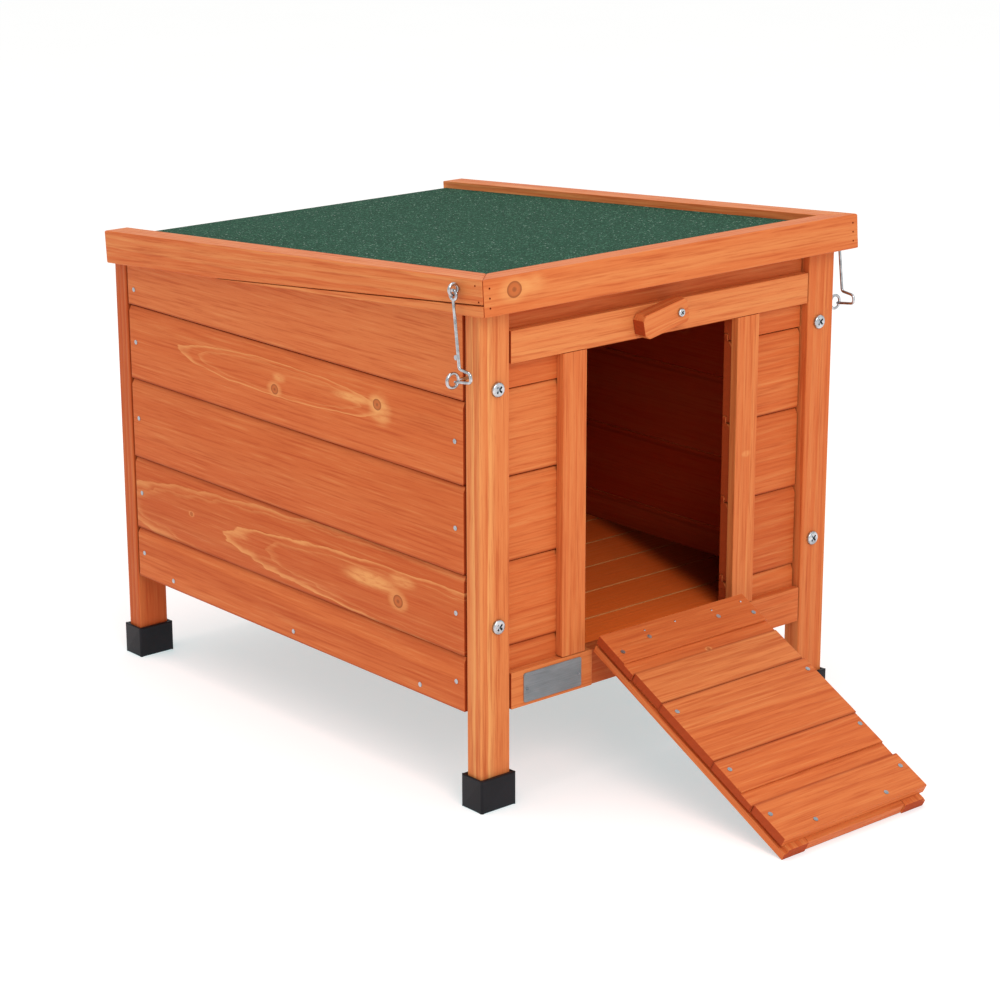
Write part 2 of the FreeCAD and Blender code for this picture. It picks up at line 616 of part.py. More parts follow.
def make_lid():
    x0 = -LID_OVERHANG
    x1 = WIDTH + LID_OVERHANG
    rim = prism_x(side_rim_outline(), x0, x0 + RIM_THICKNESS).cut(mitre(x0))
    for along, height in SIDE_BRADS:
        rim = rim.cut(rod(BRAD_R, V(x0 - MORE, along, -height), V(x0 + BRAD_LENGTH, along, -height)))
    rim = tilt_lid(rim)
    save("lid_rim_left", rim)
    save("lid_rim_right", mirrored(rim))

    wedge_top = -RIM_HEIGHT + WEDGE_HEIGHT - WEDGE_SEAM
    outline = [(0.0, wedge_top), (WEDGE_START - WEDGE_SHORT, -RIM_HEIGHT), (0.0, -RIM_HEIGHT)]
    wedge = prism_x(outline, x0, x0 + RIM_THICKNESS).cut(mitre(x0))
    save("lid_wedges", on_both_sides(tilt_lid(wedge)))

    front = block(x0, x1, 0.0, RIM_THICKNESS, -RIM_HEIGHT, 0.0)
    edge = RIM_THICKNESS + MORE
    near_corner = block(x0 - MORE, x0 + edge, -MORE, edge, -RIM_HEIGHT - MORE, MORE)
    waste = near_corner.cut(mitre(x0))
    front = front.cut(waste).cut(mirrored(waste))
    for height in BRAD_HEIGHTS:
        hole = rod(BRAD_R, V(x0 + BRAD_IN, -MORE, -height), V(x0 + BRAD_IN, BRAD_SUNK, -height))
        front = front.cut(hole).cut(mirrored(hole))
    save("lid_rim_front", tilt_lid(front))

    inset = RIM_THICKNESS + RIM_CLEAR
    felt_top = -FELT_RECESS
    deck_top = felt_top - FELT_THICKNESS
    felt = block(x0 + inset, x1 - inset, inset, LID_LENGTH - FELT_SHORT, deck_top + CONTACT, felt_top)
    save("roof_felt", tilt_lid(felt))
    deck_low = deck_top - DECK_THICKNESS
    deck = block(x0 + inset, x1 - inset, inset, LID_LENGTH - DECK_SHORT, deck_low, deck_top)
    save("roof_deck", tilt_lid(deck))

    front_y = DEPTH - REAR_BATTEN_Y
    low = LID_AXIS_Z + REAR_BATTEN_LIFT
    heights = [under_slope(y, deck_low - CONTACT) for y in (DEPTH, front_y)]
    batten = [(front_y, low), (DEPTH, low), (DEPTH, heights[0]), (front_y, heights[1])]
    save("lid_rear_batten", prism_x(batten, PANEL_LEFT + MORE, PANEL_RIGHT - MORE))


def under_slope(y, above):
    """Height at y of a plane parallel to the lid's top."""
    return LID_FRONT_Z - (y - LID_FRONT_Y) * math.tan(LID_SLOPE) + above / math.cos(LID_SLOPE)


# ---- latches ----------------------------------------------------------------------------------------
def eye_screw(radius, y, z, face_x):
    """A ring in an upright plane across the hutch, on a shank that enters the side at face_x."""
    ring = Part.makeTorus(radius, EYE_WIRE, V(-HOOK_OUT, y, z), Y_AXIS)
    shank = rod(EYE_WIRE, V(-HOOK_OUT + radius, y, z), V(face_x + EYE_SHANK_IN, y, z))
    return ring.fuse(shank).removeSplitter()


def hook():
    """Bent wire: a loop on the upper ring, a long arm, a thumb bend and a tip."""
    x = -HOOK_OUT
    loop = Part.makeTorus(HOOK_LOOP_R, HOOK_WIRE, V(x, HOOK_AXIS_Y, HOOK_AXIS_Z), X_AXIS)
    route = [(HOOK_AXIS_Y, HOOK_AXIS_Z - HOOK_LOOP_R)] + HOOK_ROUTE
    path = rounded_route(x, route, HOOK_BENDS)
    start = V(x, route[0][0], route[0][1])
    toward = V(0, route[1][0] - route[0][0], route[1][1] - route[0][1])
    section = Part.Wire(Part.Edge(Part.Circle(start, toward, HOOK_WIRE)))
    arm = path.makePipeShell([section], True, False)
    tip = Part.makeSphere(HOOK_WIRE, V(x, route[-1][0], route[-1][1]))
    return loop.fuse(arm).fuse(tip).removeSplitter()


def rounded_route(x, route, bends):
    """Straight runs through (y, z) points in the plane x, with an arc at each inner point."""
    points = [V(x, y, z) for y, z in route]
    edges = []
    start = points[0]
    for before, corner, after, radius in zip(points, points[1:], points[2:], bends):
        into = corner.sub(before).normalize()
        out = after.sub(corner).normalize()
        turn = into.getAngle(out)
        trim = radius * math.tan(turn / 2.0)
        first = corner.sub(into * trim)
        last = corner.add(out * trim)
        bisector = out.sub(into).normalize()
        centre = corner.add(bisector * (radius / math.cos(turn / 2.0)))
        middle = centre.sub(bisector * radius)
        edges.append(Part.LineSegment(start, first).toShape())
        edges.append(Part.Arc(first, middle, last).toShape())
        start = last
    edges.append(Part.LineSegment(start, points[-1]).toShape())
    return Part.Wire(edges)


def make_latches():
    left = hook()
    save("hook_left", left)
    save("hook_right", mirrored(left))
    save("upper_eyes", on_both_sides(eye_screw(UPPER_EYE_R, HOOK_AXIS_Y, EYE_Z, -LID_OVERHANG)))
    save("lower_eyes", on_both_sides(eye_screw(LOWER_EYE_R, LOWER_EYE_Y, LOWER_EYE_Z, 0.0)))


# ---- turn button and name plate -----------------------------------------------------------------------
def make_turn_button():
    """Wooden button lying slightly tipped, its long end to the left."""
    half = BUTTON_HALF_WIDTH
    long_cut = BUTTON_LONG_CUT
    short_cut = BUTTON_SHORT_CUT
    upper = [(-BUTTON_LONG, half - long_cut), (-BUTTON_LONG + long_cut, half),
             (BUTTON_SHORT - short_cut, half), (BUTTON_SHORT, half - short_cut)]
    outline = upper + [(x, -z) for x, z in reversed(upper)]
    button = prism_y(outline, BUTTON_FACE, -BUTTON_STAND)
    bore = BUTTON_SCREW_R + BUTTON_PLAY
    button = button.cut(rod(bore, V(0, BUTTON_FACE - MORE, 0), V(0, MORE, 0)))
    button.rotate(V(0, 0, 0), Y_AXIS, -math.degrees(BUTTON_DROP))
    button.translate(V(BUTTON_X, 0, BUTTON_Z))
    save("turn_button", button)

    base = V(BUTTON_X, BUTTON_FACE - BUTTON_STAND, BUTTON_Z)
    shank = rod(BUTTON_SCREW_R, base, V(BUTTON_X, BUTTON_SCREW_END, BUTTON_Z))
    head = pan_head(base, BUTTON_HEAD_R, BUTTON_HEAD_HEIGHT, -1)
    save("turn_button_screw", shank.fuse(head).removeSplitter())


def pan_head(base, radius, height, toward):
    """Rounded screw head with a cross recess; toward is -1 or 1 along Y."""
    head = Part.makeCylinder(radius, height, base, V(0, toward, 0))
    outer = [edge for edge in head.Edges if is_head_rim(edge, base, height)]
    head = head.makeFillet(height * HEAD_ROUND, outer)
    depth = height * RECESS_DEPTH
    reach = radius * RECESS_REACH
    half_width = radius * RECESS_HALF_WIDTH
    for angle in (45.0, 135.0):
        slot = block(-reach, reach, -depth, depth, -half_width, half_width)
        slot.rotate(V(0, 0, 0), Y_AXIS, angle)
        if toward < 0:
            slot.rotate(V(0, 0, 0), Z_AXIS, 180.0)
        slot.translate(V(base.x, base.y + toward * height, base.z))
        head = head.cut(slot)
    return head


def is_head_rim(edge, base, height):
    at_top = abs(abs(edge.CenterOfMass.y - base.y) - height) < 0.01
    return at_top and len(edge.Vertexes) == 1


def make_name_plate():
    """Blank metal plate on the left bottom rail."""
    left, right, low, high = PLATE
    plate = block(left, right, -PLATE_THICKNESS - CONTACT, -CONTACT, low, high)
    corners = [edge for edge in plate.Edges if abs(edge.tangentAt(edge.FirstParameter).y) > 0.99]
    save("name_plate", plate.makeFillet(PLATE_ROUND, corners))


# ---- fasteners ------------------------------------------------------------------------------------------
def nail(head, into):
    """A nail whose head lies just proud of the surface at head and points along into."""
    top = head.sub(into * NAIL_PROUD)
    shank = rod(NAIL_R, head, head.add(into * NAIL_LENGTH))
    return rod(NAIL_HEAD_R, top, head.add(into * NAIL_SUNK)).fuse(shank).removeSplitter()


def make_panel_bolts():
    bolts = []
    for y, toward in ((0.0, -1), (DEPTH, 1)):
        for height in BOLT_HEIGHTS:
            face = V(BOLT_IN, y + toward * CONTACT, height)
            shank = rod(BOLT_R, face, face.add(V(0, -toward * BOLT_LENGTH, 0)))
            bolt = shank.fuse(pan_head(face, BOLT_HEAD_R, BOLT_HEAD_HEIGHT, toward)).removeSplitter()
            bolts += on_both_sides(bolt)
    save("panel_bolts", bolts)


def wall_nails():
    """Nails of one side wall: each board into both cleats, the lowest also into the bearer."""
    front_y = CLEAT_FRONT_Y + CLEAT_Y / 2.0
    back_y = CLEAT_BACK_Y + CLEAT_Y / 2.0
    places = []
    for low, high in zip(SIDE_JOINTS, SIDE_JOINTS[1:]):
        places += [(front_y, (low + high) / 2.0), (back_y, (low + high) / 2.0)]
    places += [(front_y + TOP_NAIL_SHIFT, TOP_NAIL_FRONT_Z), (back_y, TOP_NAIL_BACK_Z)]
    places += [(y, BEARER_LOW + BEARER_NAIL_RISE) for y in BEARER_NAIL_Y]
    return [nail(V(0, y, z), X_AXIS) for y, z in places]


def screw_places(hinges, length):
    """The two screws of every leaf, across the hutch."""
    places = []
    for x0 in hinges:
        places += [x0 + HINGE_SCREW_IN, x0 + length - HINGE_SCREW_IN]
    return places


def lid_hinge_screws(z):
    y = DEPTH + HINGE_LEAF + CONTACT
    places = screw_places(LID_HINGE_X, LID_HINGE_LENGTH)
    return [nail(V(x, y, z), V(0, -1, 0)) for x in places]


def sill_screws():
    """Screws of the ramp hinges' fixed leaves."""
    y = RAMP_AXIS_Y + RAMP_FACE - CONTACT - HINGE_LEAF
    places = screw_places(RAMP_HINGE_X, RAMP_HINGE_LENGTH)
    return [nail(V(x, y, RAMP_AXIS_Z - FIXED_SCREW_DROP), Y_AXIS) for x in places]


def plate_pins():
    face = -PLATE_THICKNESS - CONTACT
    pins = []
    for x, z in PLATE_PINS:
        pins.append(rod(PLATE_PIN_R, V(x, face - PLATE_PIN_PROUD, z), V(x, BATTEN / 2.0, z)))
    return pins


def rim_brads():
    """Headless brads through the front rim's ends, sunk below its face."""
    brads = []
    x = -LID_OVERHANG + BRAD_IN
    for height in BRAD_HEIGHTS:
        start = V(x, BRAD_SUNK, -height)
        brads += on_both_sides(tilt_lid(rod(BRAD_R, start, V(x, BRAD_LENGTH, -height))))
    return brads


def ramp_hinge_screw(x):
    """A screw through a leaf and the ramp, with its point just out of the walking board."""
    inner = RAMP_AXIS_Y + RAMP_FACE + RAMP_THICKNESS
    z = RAMP_AXIS_Z + RAMP_FOOT + RAMP_TIP_ALONG
    outer = inner - RAMP_THICKNESS - HINGE_LEAF
    head = rod(NAIL_HEAD_R, V(x, outer - NAIL_PROUD, z), V(x, outer + NAIL_SUNK, z))
    shank = rod(NAIL_R, V(x, outer, z), V(x, inner, z))
    point = Part.makeCone(NAIL_R, NAIL_R / 3.0, RAMP_TIP_PROUD, V(x, inner, z), Y_AXIS)
    return lay_ramp(head.fuse(shank).fuse(point).removeSplitter())


# Ramp nails: across the hutch, and along from the ramp's hinged end.
RAMP_NAILS = [(x, along) for along in (22.0, 92.5, 158.5, 208.0) for x in (119.0, 267.4)]
RAMP_NAILS += [(154.0, 15.0), (232.0, 15.5), (152.5, 226.0), (233.0, 226.0)]


def make_nails():
    wall = plate_pins() + sill_screws() + lid_hinge_screws(LID_AXIS_Z - FIXED_SCREW_DROP)
    for one in wall_nails():
        wall += on_both_sides(one)
    save("wall_fasteners", wall)
    save("lid_fasteners", rim_brads() + lid_hinge_screws(LID_AXIS_Z + MOVING_SCREW_RISE))

    inner = RAMP_AXIS_Y + RAMP_FACE + RAMP_THICKNESS
    foot = RAMP_AXIS_Z + RAMP_FOOT
    ramp = [lay_ramp(nail(V(x, inner, foot + along), V(0, -1, 0))) for x, along in RAMP_NAILS]
    ramp += [ramp_hinge_screw(x) for x in screw_places(RAMP_HINGE_X, RAMP_HINGE_LENGTH)]
    save("ramp_fasteners", ramp)


def main():
    os.makedirs("parts", exist_ok=True)
    make_legs()
    make_side_walls()
    make_front_wall()
    make_back_wall()
    make_floor()
    make_hinges()
    make_ramp()
    make_lid()
    make_latches()
    make_turn_button()
    make_name_plate()
    make_panel_bolts()
    make_nails()


main()
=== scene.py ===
import json
import math

import bpy
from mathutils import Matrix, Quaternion, Vector


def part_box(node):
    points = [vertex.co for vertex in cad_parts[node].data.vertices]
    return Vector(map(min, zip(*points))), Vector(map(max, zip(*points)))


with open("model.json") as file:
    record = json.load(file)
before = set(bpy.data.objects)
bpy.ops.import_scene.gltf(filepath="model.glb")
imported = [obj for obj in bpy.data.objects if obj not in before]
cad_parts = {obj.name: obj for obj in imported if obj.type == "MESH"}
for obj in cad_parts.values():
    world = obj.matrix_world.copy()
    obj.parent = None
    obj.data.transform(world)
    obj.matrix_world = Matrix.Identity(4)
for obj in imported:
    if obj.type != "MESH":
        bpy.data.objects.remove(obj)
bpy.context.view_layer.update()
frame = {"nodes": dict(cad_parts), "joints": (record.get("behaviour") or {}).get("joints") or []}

# Looks of the small rabbit hutch.  Every CAD node keeps its shape and gets a procedural finish; the wooden
# parts, the felt, the plate and the foot caps also get slightly rounded edges.  No piece is added.  Metres,
# in the frame's own axes.

MM = 0.001
nodes = frame["nodes"]
scene = bpy.context.scene

# ---- places taken from the frame -----------------------------------------------------------
HOUSE_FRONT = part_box("post_front_left")[0].y
SIDE_SEAMS = [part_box("left_board_%d" % number)[0].z for number in range(1, 6)]
# Heights of the joints between the front wall's boards, lowest first.
FRONT_SEAMS = [0.08, 0.1293, 0.1988, 0.2676, 0.3374]
RAMP_JOINT = next(j for j in frame["joints"] if j["name"] == "ramp_hinge")
RAMP_ANGLE = math.radians(RAMP_JOINT["range_deg"][1])
LID_SLOPE = math.radians(4.07)

X = Vector((1, 0, 0))
Y = Vector((0, 1, 0))
Z = Vector((0, 0, 1))
LID_ALONG = Vector((0, math.cos(LID_SLOPE), -math.sin(LID_SLOPE)))
LID_UP = Vector((0, math.sin(LID_SLOPE), math.cos(LID_SLOPE)))
RAMP_ALONG = Vector((0, -math.sin(RAMP_ANGLE), math.cos(RAMP_ANGLE)))


# ---- node helpers ----------------------------------------------------------------------------
class Graph:
    """A short way to write a shader tree; values may be numbers, colours or sockets."""

    def __init__(self, tree):
        self.tree = tree

    def plug(self, node, sockets):
        for key, value in sockets.items():
            socket = node.inputs[key]
            if isinstance(value, bpy.types.NodeSocket):
                self.tree.links.new(value, socket)
            else:
                socket.default_value = value

    def node(self, kind, sockets=None, **settings):
        node = self.tree.nodes.new(kind)
        for key, value in settings.items():
            setattr(node, key, value)
        self.plug(node, sockets or {})
        return node

    def math(self, operation, a, b=0.0, c=0.0, clamp=False):
        node = self.node("ShaderNodeMath", {0: a, 1: b, 2: c}, operation=operation)
        node.use_clamp = clamp
        return node.outputs[0]

    def dot(self, vector, axis):
        node = self.node("ShaderNodeVectorMath", {0: vector, 1: axis}, operation="DOT_PRODUCT")
        return node.outputs["Value"]

    def scaled(self, vector, factors):
        node = self.node("ShaderNodeVectorMath", {0: vector, 1: factors}, operation="MULTIPLY")
        return node.outputs[0]

    def moved(self, vector, offset):
        node = self.node("ShaderNodeVectorMath", {0: vector, 1: offset}, operation="ADD")
        return node.outputs[0]

    def noise(self, vector, seed=0.0, detail=2.0, roughness=0.5, distortion=0.0):
        sockets = {"Vector": vector, "W": seed, "Scale": 1.0, "Detail": detail,
                   "Roughness": roughness, "Distortion": distortion}
        return self.node("ShaderNodeTexNoise", sockets, noise_dimensions="4D").outputs[0]

    def smooth(self, value, low, high, to_low=0.0, to_high=1.0):
        sockets = {"Value": value, "From Min": low, "From Max": high,
                   "To Min": to_low, "To Max": to_high}
        node = self.node("ShaderNodeMapRange", sockets, interpolation_type="SMOOTHSTEP")
        return node.outputs["Result"]

    def mix(self, factor, a, b):
        node = self.node("ShaderNodeMix", data_type="RGBA")
        self.plug(node, {0: factor, 6: a, 7: b})
        return node.outputs[2]

    def stops(self, value, stops, interpolation="LINEAR"):
        """A colour ramp; stops are (position, grey or colour)."""
        node = self.node("ShaderNodeValToRGB", {"Fac": value})
        node.color_ramp.interpolation = interpolation
        elements = node.color_ramp.elements
        while len(elements) < len(stops):
            elements.new(0.5)
        for element, (position, colour) in zip(elements, stops):
            element.position = position
            element.color = colour if isinstance(colour, tuple) else (colour, colour, colour, 1)
        return node.outputs["Color"]


def srgb(red, green, blue):
    """A display colour as the linear colour that shaders use."""
    linear = []
    for value in (red, green, blue):
        part = value / 255.0
        linear.append(part / 12.92 if part <= 0.04045 else ((part + 0.055) / 1.055) ** 2.4)
    return (*linear, 1.0)


def new_material(name):
    material = bpy.data.materials.new(name)
    material.use_nodes = True
    material.node_tree.nodes.clear()
    return material, Graph(material.node_tree)


def finish_shader(graph, colour, roughness, height=None, bump=0.0002, **fixed):
    """Principled shader; fixed values go on its own sockets, named with _ for spaces."""
    shader = graph.node("ShaderNodeBsdfPrincipled", {"Base Color": colour, "Roughness": roughness})
    for key, value in fixed.items():
        shader.inputs[key.replace("_", " ")].default_value = value
    if height is not None:
        relief = graph.node("ShaderNodeBump", {"Height": height, "Strength": 1.0, "Distance": bump})
        graph.plug(shader, {"Normal": relief.outputs[0]})
    output = graph.node("ShaderNodeOutputMaterial")
    graph.plug(output, {"Surface": shader.outputs[0]})


def group_tree(name, inputs, outputs):
    """A node group with float, vector or colour sockets, given as (name, kind, default)."""
    tree = bpy.data.node_groups.new(name, "ShaderNodeTree")
    kinds = {"f": "NodeSocketFloat", "v": "NodeSocketVector", "c": "NodeSocketColor"}
    for label, kind, default in inputs:
        socket = tree.interface.new_socket(label, in_out="INPUT", socket_type=kinds[kind])
        if default is not None:
            socket.default_value = default
    for label, kind in outputs:
        tree.interface.new_socket(label, in_out="OUTPUT", socket_type=kinds[kind])
    graph = Graph(tree)
    entry = graph.node("NodeGroupInput")
    leave = graph.node("NodeGroupOutput")
    return tree, graph, entry.outputs, leave


# ---- pine, stained orange ----------------------------------------------------------------------
STAIN = srgb(199, 101, 50)
STAIN_DEEP = srgb(168, 68, 29)
STAIN_PALE = srgb(212, 132, 76)
STAIN_YELLOW = srgb(223, 157, 94)
# painted shade: the dark that faces inside the hutch are mixed towards
INSIDE_PAINTED_SHADE = srgb(150, 16, 3)
# the floor's top: a redder stain, brightened as painted light where light falls in through the door
FLOOR_TOP_STAIN_AND_LIGHT = srgb(255, 110, 36)
# painted shade: the dark the floor is shaded towards near the right wall
SHADE_PAINTED_DARK = srgb(70, 8, 2)
# painted shade: the dark laid along the joints between boards
JOINT_PAINTED_SHADE = srgb(128, 36, 10)
KNOT_PALE = srgb(186, 94, 46)
KNOT_BROWN = srgb(112, 50, 24)
END_GRAIN = srgb(160, 64, 28)
RING_RANDOM = 0.75
SEAM_DARK = 2.4 * MM


def pine_group():
    """Grain of one board in board space: x along the grain, y across its face, z into it."""
    inputs = [("Board", "v", None), ("Seed", "f", 0.0), ("Tone", "f", 0.0), ("Pith", "v", None),
              ("Spacing", "f", 0.006), ("Streak", "f", 0.4), ("End", "f", 0.0)]
    outputs = [("Colour", "c"), ("Roughness", "f"), ("Height", "f")]
    tree, g, given, leave = group_tree("pine_grain", inputs, outputs)
    board, seed = given["Board"], given["Seed"]

    sway = g.noise(g.scaled(board, (5.0, 22.0, 22.0)), seed, 2.0)
    wander = g.noise(g.scaled(board, (14.0, 60.0, 60.0)), g.math("ADD", seed, 7.3), 2.0)
    parts = g.node("ShaderNodeSeparateXYZ", {0: board}).outputs
    pith = g.node("ShaderNodeSeparateXYZ", {0: given["Pith"]}).outputs
    lean = g.math("MULTIPLY", parts[0], pith[2])
    slow_push = g.math("MULTIPLY_ADD", sway, 0.012, -0.006)
    quick_push = g.math("MULTIPLY_ADD", wander, 0.004, -0.002)
    push = g.math("ADD", slow_push, quick_push)
    across = g.math("ADD", g.math("SUBTRACT", g.math("SUBTRACT", parts[1], pith[0]), lean), push)
    inward = g.math("SUBTRACT", parts[2], pith[1])
    squares = g.math("ADD", g.math("MULTIPLY", across, across), g.math("MULTIPLY", inward, inward))
    radius = g.math("SQRT", squares)
    rings = g.math("DIVIDE", radius, given["Spacing"])
    phase = g.math("FRACT", rings)
    number = g.math("ADD", g.math("FLOOR", rings), g.math("MULTIPLY", seed, 3.1))
    chance = g.node("ShaderNodeTexWhiteNoise", {"W": number}, noise_dimensions="1D").outputs["Value"]
    line = g.math("MULTIPLY", g.smooth(phase, 0.15, 0.82), g.smooth(phase, 0.86, 0.99, 1.0, 0.0))
    strength = g.math("MULTIPLY_ADD", chance, RING_RANDOM, 1.0 - RING_RANDOM)
    late = g.math("MULTIPLY", line, strength)

    fibre = g.noise(g.scaled(board, (16.0, 520.0, 520.0)), seed, 3.0, 0.6)
    pores = g.noise(g.scaled(board, (70.0, 1700.0, 1700.0)), seed, 2.0, 0.6)
    blotch = g.noise(g.scaled(board, (7.0, 26.0, 26.0)), g.math("ADD", seed, 3.9), 3.0, 0.55)
    bands = g.noise(g.scaled(board, (2.5, 95.0, 95.0)), g.math("ADD", seed, 11.0), 2.0, 0.5)

    tone = g.math("ADD", given["Tone"], g.math("MULTIPLY_ADD", blotch, 0.5, -0.25))
    colour = g.mix(g.math("MULTIPLY", tone, 0.85, clamp=True), STAIN, STAIN_PALE)
    colour = g.mix(g.math("MULTIPLY", tone, -0.7, clamp=True), colour, STAIN_DEEP)
    lines = g.math("ADD", late, g.smooth(bands, 0.5, 0.75, 0.0, 0.5))
    colour = g.mix(g.math("MULTIPLY", lines, given["Streak"], clamp=True), colour, STAIN_YELLOW)
    sunken = g.math("MULTIPLY", g.math("MULTIPLY", lines, given["Streak"]), -1.0, clamp=True)
    colour = g.mix(sunken, colour, STAIN_DEEP)
    colour = g.mix(g.smooth(fibre, 0.3, 0.46, 0.2, 0.0), colour, STAIN_YELLOW)
    colour = g.mix(g.smooth(fibre, 0.46, 0.72, 0.0, 0.6), colour, STAIN_DEEP)
    colour = g.mix(g.smooth(pores, 0.58, 0.75, 0.0, 0.4), colour, STAIN_DEEP)
    end = g.mix(g.math("MULTIPLY", late, 0.6), END_GRAIN, STAIN_DEEP)
    colour = g.mix(given["End"], colour, end)

    rough = g.math("ADD", g.smooth(fibre, 0.3, 0.7, 0.42, 0.56), g.math("MULTIPLY", given["End"], 0.2))
    height = g.math("ADD", g.math("MULTIPLY", fibre, 0.5), g.math("MULTIPLY", late, 0.5))
    height = g.math("ADD", height, g.math("MULTIPLY", pores, 0.35))
    g.plug(leave, {"Colour": colour, "Roughness": rough, "Height": height})
    return tree


def ellipse_distance(g, board, centre, reach, seed, wobble):
    """0 at the centre and 1 on an ellipse with half axes reach, with an uneven outline."""
    shift = g.moved(board, (-centre[0], -centre[1], 0.0))
    flat = g.scaled(shift, (1.0 / reach[0], 1.0 / reach[1], 0.0))
    length = g.node("ShaderNodeVectorMath", {0: flat}, operation="LENGTH").outputs["Value"]
    rough = g.noise(g.scaled(board, (30.0, 110.0, 0.0)), seed, 3.0)
    return g.math("ADD", length, g.math("MULTIPLY_ADD", rough, wobble, -wobble / 2.0))


def paint_figure(g, board, colour, figure):
    """Pale growth lines round a long ellipse, each sharp outside and soft inside."""
    centre, reach, lines, seed = figure
    distance = ellipse_distance(g, board, centre, reach, seed, 0.26)
    grown = g.noise(g.scaled(board, (22.0, 260.0, 260.0)), seed, 3.0, 0.6)
    for level, width, amount in lines:
        inside = g.smooth(distance, level - width, level)
        outside = g.smooth(distance, level, level + width * 0.18, 1.0, 0.0)
        mask = g.math("MULTIPLY", g.math("MULTIPLY", inside, outside), amount)
        mask = g.math("MULTIPLY", mask, g.smooth(grown, 0.2, 0.6, 0.45, 1.0))
        colour = g.mix(mask, colour, STAIN_YELLOW)
    return colour


def paint_flame(g, board, colour, flame):
    """A pale soft patch of turned grain, as beside a knot."""
    centre, reach, amount, seed = flame
    distance = ellipse_distance(g, board, centre, reach, seed, 0.9)
    curl = g.noise(g.scaled(board, (60.0, 320.0, 320.0)), seed + 2.0, 3.0, 0.6, 0.8)
    mask = g.math("MULTIPLY", g.smooth(distance, 0.35, 1.1, amount, 0.0), g.smooth(curl, 0.3, 0.6, 0.45, 1.0))
    return g.mix(mask, colour, STAIN_YELLOW)


def paint_knot(g, board, colour, knot):
    """A knot: brown heart with rings, a dark bark line round it, and pale turned grain."""
    centre, radius, seed = knot
    halo = ellipse_distance(g, board, centre, (radius * 2.6, radius * 1.7), seed, 0.5)
    colour = g.mix(g.smooth(halo, 0.5, 1.0, 0.45, 0.0), colour, STAIN_YELLOW)
    distance = ellipse_distance(g, board, centre, (radius, radius * 0.9), seed, 0.22)
    browning = [(0.0, 0.85), (0.2, 0.7), (0.38, 0.1), (0.66, 0.2), (0.82, 0.5), (0.92, 0.85)]
    depth = g.stops(distance, browning, "EASE")
    heart = g.mix(depth, KNOT_PALE, KNOT_BROWN)
    return g.mix(g.smooth(distance, 0.94, 1.06, 0.8, 0.0), colour, heart)


def paint_seams(g, across, colour, seams, painted_light_colour):
    """A band of colour along the edges of the boards, at these places across the face: painted shade
    along the joints of the walls and the ramp, and a painted highlight along the floor's joints.
    """
    for place in seams:
        away = g.math("ABSOLUTE", g.math("SUBTRACT", across, place))
        colour = g.mix(g.smooth(away, SEAM_DARK * 0.2, SEAM_DARK, 0.5, 0.0), colour, painted_light_colour)
    return colour


PINE = pine_group()


def pine(name, grain, across, tone=0.0, streak=0.35, pith=(0.03, 0.05, 0.02), spacing=0.006,
         seed=0.0, pieces=None, knots=(), figures=(), flames=(), seams=(),
         seam_painted_light=JOINT_PAINTED_SHADE, indoor_painted_light=None, shade=None):
    """Pine for one node.  pieces: (low, high, [(part of the way, tone), ...]) across the face,
    where one node holds several boards side by side.  A negative streak gives dark
    grain lines.  Faces inside the hutch, picked by a (direction, colour) pair, are mixed towards
    that colour as painted light: painted shade on the inner walls and the deck's underside, and on
    the floor's top a brighter colour, partly stain and partly painted light.  shade: (axis, start,
    end), painted shade, a slow darkening along an axis."""
    material, g = new_material(name)
    place = g.node("ShaderNodeTexCoord").outputs
    into = grain.cross(across)
    parts = [g.dot(place["Object"], tuple(axis)) for axis in (grain, across, into)]
    board = g.node("ShaderNodeCombineXYZ", {0: parts[0], 1: parts[1], 2: parts[2]}).outputs[0]
    facing = g.math("ABSOLUTE", g.dot(place["Normal"], tuple(grain)))
    sockets = {"Board": board, "Seed": seed, "Tone": tone, "Pith": pith, "Spacing": spacing,
               "Streak": streak, "End": g.smooth(facing, 0.75, 0.95)}
    if pieces:
        low, high, stops = pieces
        part = g.math("DIVIDE", g.math("SUBTRACT", parts[1], low), high - low)
        own = g.stops(part, [(at, (value + 1.0) / 2.0) for at, value in stops], "CONSTANT")
        sockets["Tone"] = g.math("MULTIPLY_ADD", own, 2.0, -1.0)
        sockets["Seed"] = g.math("MULTIPLY_ADD", own, 23.7, seed)
    wood = g.node("ShaderNodeGroup", node_tree=PINE)
    g.plug(wood, sockets)
    colour = wood.outputs["Colour"]
    for figure in figures:
        colour = paint_figure(g, board, colour, figure)
    for flame in flames:
        colour = paint_flame(g, board, colour, flame)
    for knot in knots:
        colour = paint_knot(g, board, colour, knot)
    # painted light inside the hutch: faces turned the given way are mixed three quarters towards the given
    # colour, as painted shade on inner walls and deck
    if indoor_painted_light:
        inner = g.dot(place["Normal"], indoor_painted_light[0])
        colour = g.mix(g.smooth(inner, 0.7, 0.9, 0.0, 0.75), colour, indoor_painted_light[1])
    # bands along the board joints: painted shade with the default colour, a painted highlight on the floor
    colour = paint_seams(g, parts[1], colour, seams, seam_painted_light)
    # painted shade: a darkening along the given axis
    if shade:
        axis, start, end = shade
        colour = g.mix(g.smooth(g.dot(place["Object"], axis), start, end, 0.0, 0.88), colour, SHADE_PAINTED_DARK)
    finish_shader(g, colour, wood.outputs["Roughness"], wood.outputs["Height"], 0.0003,
                  Specular_IOR_Level=0.1)
    return material


